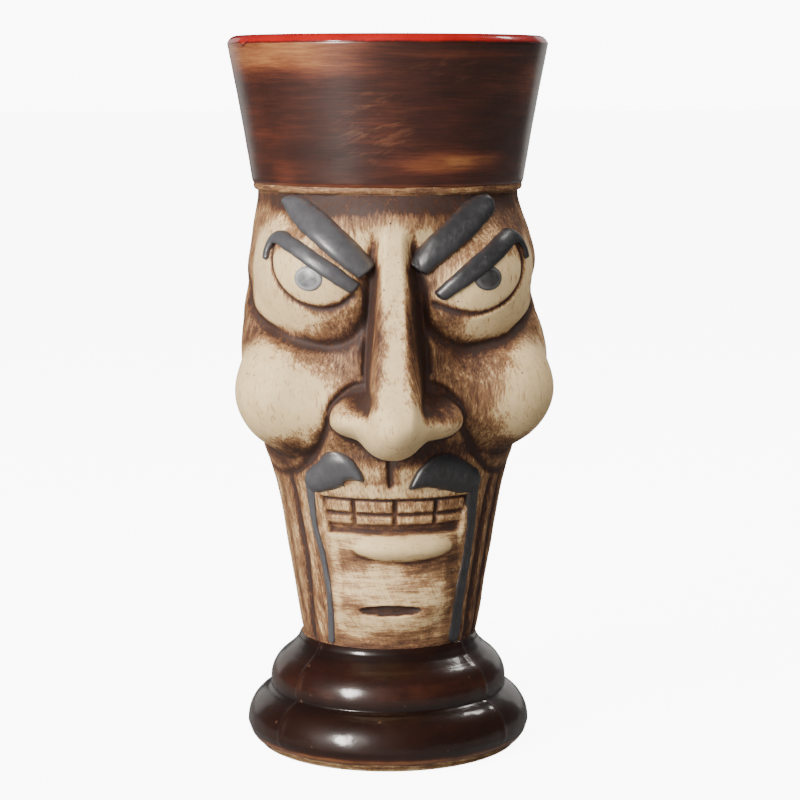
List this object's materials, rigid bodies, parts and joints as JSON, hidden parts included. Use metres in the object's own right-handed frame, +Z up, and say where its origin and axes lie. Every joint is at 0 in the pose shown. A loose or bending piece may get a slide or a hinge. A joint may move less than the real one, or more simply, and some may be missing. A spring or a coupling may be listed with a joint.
{
  "type": "tiki mug",
  "caption": "Footed ceramic tiki tumbler with a flared collar over a scowling carved face, a tapering column and a two-ring foot.",
  "frame": {"origin": "centre of the flat underside of the foot, on the surface that the mug stands on", "axes": "+Z up through the mouth of the mug; the face looks along -Y; +X is to a viewer's right"},
  "size_m": [0.0804, 0.0949, 0.178],
  "materials": {
    "bisque": "matte pale earthenware with a brown stain wiped into the recesses",
    "red_glaze": "red gloss glaze",
    "brown_glaze": "brushed brown gloss glaze",
    "dark_glaze": "dark brown gloss glaze",
    "charcoal": "satin charcoal underglaze"
  },
  "bodies": {
    "root": {"earthenware_body": "bisque", "red_lining": "red_glaze", "collar_glaze": "brown_glaze", "foot_glaze": "dark_glaze", "left_brow": "charcoal", "right_brow": "charcoal", "left_eyelid": "charcoal", "right_eyelid": "charcoal", "left_pupil": "charcoal", "right_pupil": "charcoal", "left_moustache": "charcoal", "right_moustache": "charcoal", "left_whisker": "charcoal", "right_whisker": "charcoal"}
  },
  "joints": []
}
